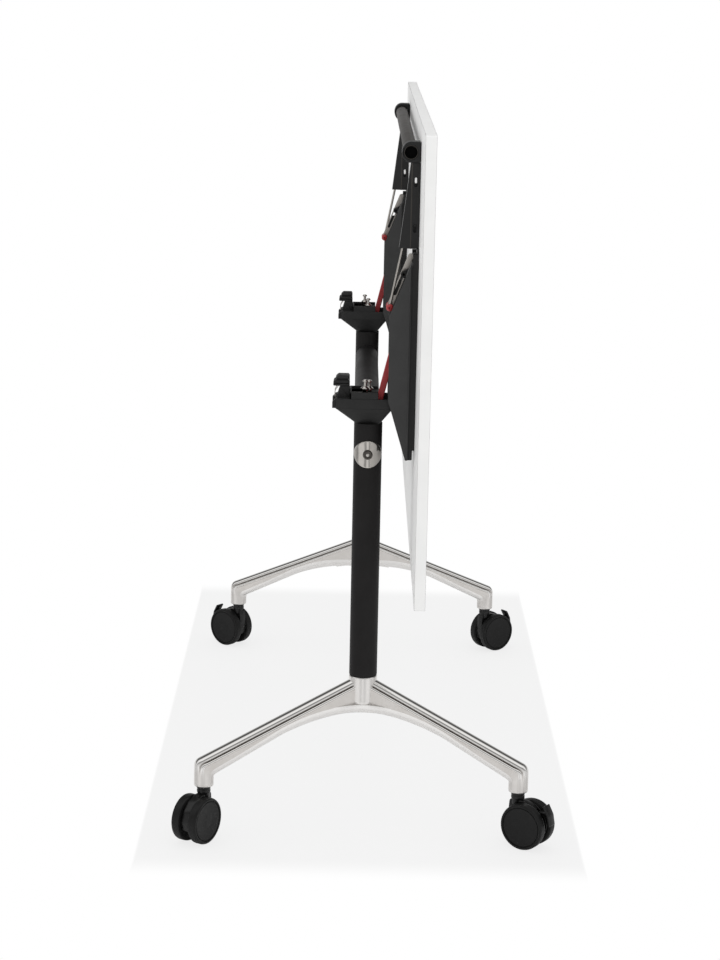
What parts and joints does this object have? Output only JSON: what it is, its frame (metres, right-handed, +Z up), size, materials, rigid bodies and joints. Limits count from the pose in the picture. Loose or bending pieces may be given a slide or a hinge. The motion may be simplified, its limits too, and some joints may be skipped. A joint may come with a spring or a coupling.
{
  "type": "folding desk",
  "caption": "Flip-top folding desk with a white top on two black columns, splayed polished feet, twin-wheel casters and a pull-bar release for folding the top upright.",
  "frame": {"origin": "on the floor, midway between the two columns", "axes": "+Z up, +X along the desk to a seated user's right, -Y towards the user; the top is stored folded upright on the +Y side"},
  "size_m": [1.4, 0.5944, 1.092],
  "materials": {
    "white_melamine": "satin white melamine on board",
    "white_edging": "white plastic edging",
    "black_powder_coat": "fine matt powder coat",
    "black_casting": "matt black painted casting",
    "polished_aluminium": "polished cast aluminium",
    "wing_plastic": "textured dark plastic",
    "bracket_steel": "black painted steel",
    "lever_steel": "black painted folded steel",
    "handle_paint": "dark grey painted tube",
    "plug_plastic": "black plastic plug",
    "red_plastic": "red moulded plastic",
    "zinc_steel": "bright zinc-plated steel",
    "chrome": "polished chrome",
    "dark_bolt": "dark oiled steel",
    "caster_hood_plastic": "black moulded nylon",
    "caster_wheel_plastic": "black nylon wheel"
  },
  "bodies": {
    "root": {"column_right": "black_powder_coat", "column_left": "black_powder_coat", "base_right": "polished_aluminium", "base_left": "polished_aluminium", "head_right": "black_casting", "head_left": "black_casting", "latch_keeper_right": "black_casting", "latch_keeper_left": "black_casting", "keeper_strips_right": "zinc_steel", "keeper_strips_left": "zinc_steel", "saddle_disc_right": "chrome", "saddle_disc_left": "chrome", "base_bolts": "zinc_steel", "head_screws": "chrome", "crossbar": "black_powder_coat", "crossbar_bolts": "dark_bolt", "caster_stems": "zinc_steel"},
    "top": {"tabletop": "white_melamine", "edge_band": "white_edging", "underside_screws": "zinc_steel", "link_guide_pins": "zinc_steel", "hinge_bracket_right": "bracket_steel", "hinge_bracket_left": "bracket_steel", "hinge_pin_right": "zinc_steel", "hinge_pin_left": "zinc_steel", "wing_cover_right": "wing_plastic", "wing_cover_left": "wing_plastic", "lock_arm_right": "red_plastic", "lock_arm_left": "red_plastic", "lever_guide_right": "bracket_steel", "lever_guide_left": "bracket_steel"},
    "handle": {"handle_tube": "handle_paint", "handle_plugs": "plug_plastic", "rod_pins": "zinc_steel", "handle_block_right": "lever_steel", "handle_block_left": "lever_steel", "release_lever_right": "lever_steel", "release_lever_left": "lever_steel"},
    "rods": {"release_rod_right": "zinc_steel", "release_rod_left": "zinc_steel"},
    "links": {"slotted_link_right": "zinc_steel", "slotted_link_left": "zinc_steel", "latch_knob_right": "red_plastic", "latch_knob_left": "red_plastic"},
    "caster_right_front": {"caster_hood_right_front": "caster_hood_plastic", "caster_axle_right_front": "zinc_steel"},
    "wheels_right_front": {"caster_wheels_right_front": "caster_wheel_plastic"},
    "caster_right_rear": {"caster_hood_right_rear": "caster_hood_plastic", "caster_axle_right_rear": "zinc_steel"},
    "wheels_right_rear": {"caster_wheels_right_rear": "caster_wheel_plastic"},
    "brake_right_rear": {"caster_brake_right_rear": "caster_hood_plastic"},
    "caster_left_front": {"caster_hood_left_front": "caster_hood_plastic", "caster_axle_left_front": "zinc_steel"},
    "wheels_left_front": {"caster_wheels_left_front": "caster_wheel_plastic"},
    "brake_left_front": {"caster_brake_left_front": "caster_hood_plastic"},
    "caster_left_rear": {"caster_hood_left_rear": "caster_hood_plastic", "caster_axle_left_rear": "zinc_steel"},
    "wheels_left_rear": {"caster_wheels_left_rear": "caster_wheel_plastic"},
    "brake_left_rear": {"caster_brake_left_rear": "caster_hood_plastic"}
  },
  "joints": [
    {"name": "top_flip", "type": "hinge", "parent": "root", "child": "top", "pos_m": [0, 0.046, 0.706], "axis": [1, 0, 0], "range_deg": [0, 90]},
    {"name": "handle_pull", "type": "slide", "parent": "top", "child": "handle", "axis": [0, 0, 1], "range_m": [0, 0.008]},
    {"name": "link_slide", "type": "slide", "parent": "top", "child": "links", "axis": [0, 0.3665, 0.9304], "range_m": [0, 0.00815]},
    {"name": "rod_swing", "type": "hinge", "parent": "handle", "child": "rods", "pos_m": [0, 0.0485, 0.921], "axis": [1, 0, 0], "range_deg": [0, 1.66]},
    {"name": "swivel_right_front", "type": "hinge", "parent": "root", "child": "caster_right_front", "pos_m": [0.534, -0.241, 0.08], "axis": [0, 0, 1], "continuous": true},
    {"name": "roll_right_front", "type": "hinge", "parent": "caster_right_front", "child": "wheels_right_front", "pos_m": [0.55017, -0.25098, 0.036], "axis": [0.5255, 0.8508, 0], "continuous": true},
    {"name": "swivel_right_rear", "type": "hinge", "parent": "root", "child": "caster_right_rear", "pos_m": [0.534, 0.241, 0.08], "axis": [0, 0, 1], "continuous": true},
    {"name": "roll_right_rear", "type": "hinge", "parent": "caster_right_rear", "child": "wheels_right_rear", "pos_m": [0.54462, 0.25675, 0.036], "axis": [-0.829, 0.5592, 0], "continuous": true},
    {"name": "brake_right_rear", "type": "hinge", "parent": "caster_right_rear", "child": "brake_right_rear", "pos_m": [0.55693, 0.27499, 0.056], "axis": [-0.829, 0.5592, 0], "range_deg": [0, 10]},
    {"name": "swivel_left_front", "type": "hinge", "parent": "root", "child": "caster_left_front", "pos_m": [-0.534, -0.241, 0.08], "axis": [0, 0, 1], "continuous": true},
    {"name": "roll_left_front", "type": "hinge", "parent": "caster_left_front", "child": "wheels_left_front", "pos_m": [-0.54621, -0.25555, 0.036], "axis": [0.766, -0.6428, 0], "continuous": true},
    {"name": "brake_left_front", "type": "hinge", "parent": "caster_left_front", "child": "brake_left_front", "pos_m": [-0.56035, -0.27241, 0.056], "axis": [0.766, -0.6428, 0], "range_deg": [0, 10]},
    {"name": "swivel_left_rear", "type": "hinge", "parent": "root", "child": "caster_left_rear", "pos_m": [-0.534, 0.241, 0.08], "axis": [0, 0, 1], "continuous": true},
    {"name": "roll_left_rear", "type": "hinge", "parent": "caster_left_rear", "child": "wheels_left_rear", "pos_m": [-0.54517, 0.25637, 0.036], "axis": [-0.809, -0.5878, 0], "continuous": true},
    {"name": "brake_left_rear", "type": "hinge", "parent": "caster_left_rear", "child": "brake_left_rear", "pos_m": [-0.5581, 0.27417, 0.056], "axis": [-0.809, -0.5878, 0], "range_deg": [0, 10]}
  ],
  "couplings": [
    {"joint": "link_slide", "follows": "handle_pull", "ratio": 0.99842},
    {"joint": "rod_swing", "follows": "handle_pull", "rad_per_m": 3.5517}
  ]
}
